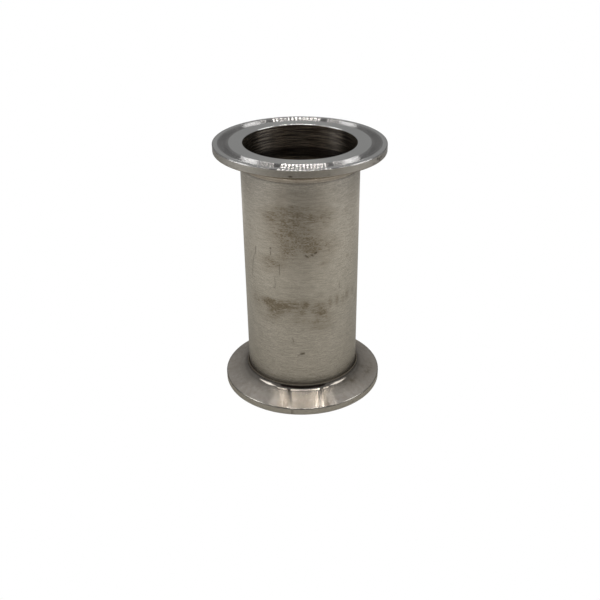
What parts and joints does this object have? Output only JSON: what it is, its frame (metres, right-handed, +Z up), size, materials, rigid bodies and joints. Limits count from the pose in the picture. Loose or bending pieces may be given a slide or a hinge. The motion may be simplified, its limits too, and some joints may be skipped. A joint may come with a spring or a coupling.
{
  "type": "sanitary spool pipe",
  "caption": "Short straight stainless pipe spool with a round clamp ferrule on each end: flat gasket face with a ring groove, sloped clamp cone behind the rim, and a smooth through bore.",
  "frame": {"origin": "centre of the lower gasket face, on the pipe's axis, where the spool stands", "axes": "+Z runs up the pipe's axis from the lower gasket face to the upper one; X and Y are any two directions square to it, because the part is round"},
  "size_m": [0.064, 0.064, 0.1],
  "materials": {
    "turned_steel": "turned stainless steel: bright polished gasket face and groove, satin rim and cone with fine lathe marks",
    "brushed_tube_steel": "stainless tube brushed round its axis, with a few brown handling stains"
  },
  "bodies": {
    "root": {"lower_ferrule": "turned_steel", "spool_tube": "brushed_tube_steel", "upper_ferrule": "turned_steel"}
  },
  "joints": []
}
